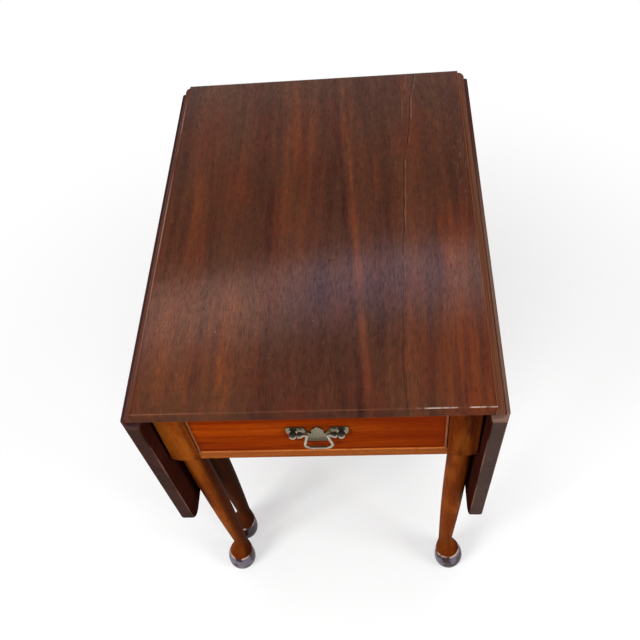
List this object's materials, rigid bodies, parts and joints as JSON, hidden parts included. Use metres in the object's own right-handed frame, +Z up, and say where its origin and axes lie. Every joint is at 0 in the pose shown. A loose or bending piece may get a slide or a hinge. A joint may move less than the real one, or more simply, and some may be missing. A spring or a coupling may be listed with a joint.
{
  "type": "drop-leaf coffee table",
  "caption": "Gate-leg coffee table with hanging leaves on rule joints, turned club legs, and a drawer with a bail pull; set things on its top.",
  "frame": {"origin": "on the floor, under the middle of the table", "axes": "+X across the table to the right, +Y to the back, +Z up; the drawer faces -Y"},
  "size_m": [0.458, 0.604, 0.61],
  "materials": {
    "mahogany_top": "polished, dark red-brown, worn",
    "mahogany_leaf": "polished, dark purple-brown",
    "mahogany_leg": "polished, golden brown",
    "mahogany_drawer": "polished, orange-red",
    "mahogany_bead": "polished, lighter orange",
    "carcase_wood": "waxed",
    "inner_wood": "dry, unpolished",
    "aged_brass": "aged, greenish",
    "hinge_brass": "dull",
    "dull_steel": "dull"
  },
  "bodies": {
    "frame": {"top_board": "mahogany_top", "front_left_leg": "mahogany_leg", "front_right_leg": "mahogany_leg", "back_left_leg": "mahogany_leg", "back_right_leg": "mahogany_leg", "left_side_rail": "carcase_wood", "right_side_rail": "carcase_wood", "back_rail": "carcase_wood", "top_rail": "mahogany_leg", "drawer_rail": "mahogany_leg", "left_runner": "inner_wood", "right_runner": "inner_wood", "left_kicker": "inner_wood", "right_kicker": "inner_wood", "drawer_stops": "inner_wood", "glue_blocks": "inner_wood", "left_fly_rail": "carcase_wood", "right_fly_rail": "carcase_wood", "left_gate_pin": "dull_steel", "right_gate_pin": "dull_steel", "top_screws": "dull_steel", "fly_screws": "dull_steel", "left_hinge_top_plates": "hinge_brass", "right_hinge_top_plates": "hinge_brass", "left_hinge_pins": "dull_steel", "right_hinge_pins": "dull_steel", "hinge_top_screws": "hinge_brass"},
    "left_leaf": {"left_leaf": "mahogany_leaf", "left_hinge_leaf_plates": "hinge_brass", "left_leaf_screws": "hinge_brass"},
    "right_leaf": {"right_leaf": "mahogany_leaf", "right_hinge_leaf_plates": "hinge_brass", "right_leaf_screws": "hinge_brass"},
    "left_gate": {"left_gate_rail": "carcase_wood", "left_gate_leg": "mahogany_leg"},
    "right_gate": {"right_gate_rail": "carcase_wood", "right_gate_leg": "mahogany_leg"},
    "drawer": {"drawer_front": "mahogany_drawer", "drawer_left_side": "inner_wood", "drawer_right_side": "inner_wood", "drawer_back": "inner_wood", "drawer_bottom": "inner_wood", "drawer_bottom_pins": "dull_steel", "drawer_cockbead": "mahogany_bead", "handle_backplate": "aged_brass", "handle_posts": "aged_brass", "handle_nuts": "dull_steel"},
    "bail": {"bail": "aged_brass"}
  },
  "joints": [
    {"name": "left_leaf_hinge", "type": "hinge", "parent": "frame", "child": "left_leaf", "pos_m": [-0.213, 0, 0.594], "axis": [0, 1, 0], "range_deg": [0, 91]},
    {"name": "right_leaf_hinge", "type": "hinge", "parent": "frame", "child": "right_leaf", "pos_m": [0.213, 0, 0.594], "axis": [0, -1, 0], "range_deg": [0, 92]},
    {"name": "left_gate_swing", "type": "hinge", "parent": "frame", "child": "left_gate", "pos_m": [-0.193, 0, 0.5], "axis": [0, 0, -1], "range_deg": [0, 0.8]},
    {"name": "right_gate_swing", "type": "hinge", "parent": "frame", "child": "right_gate", "pos_m": [0.193, 0, 0.5], "axis": [0, 0, -1], "range_deg": [0, 0.2]},
    {"name": "drawer_slide", "type": "slide", "parent": "frame", "child": "drawer", "axis": [0, -1, 0], "range_m": [0, 0.32]},
    {"name": "bail_swing", "type": "hinge", "parent": "drawer", "child": "bail", "pos_m": [0, -0.2871, 0.5245], "axis": [-1, 0, 0], "range_deg": [0, 95]}
  ]
}
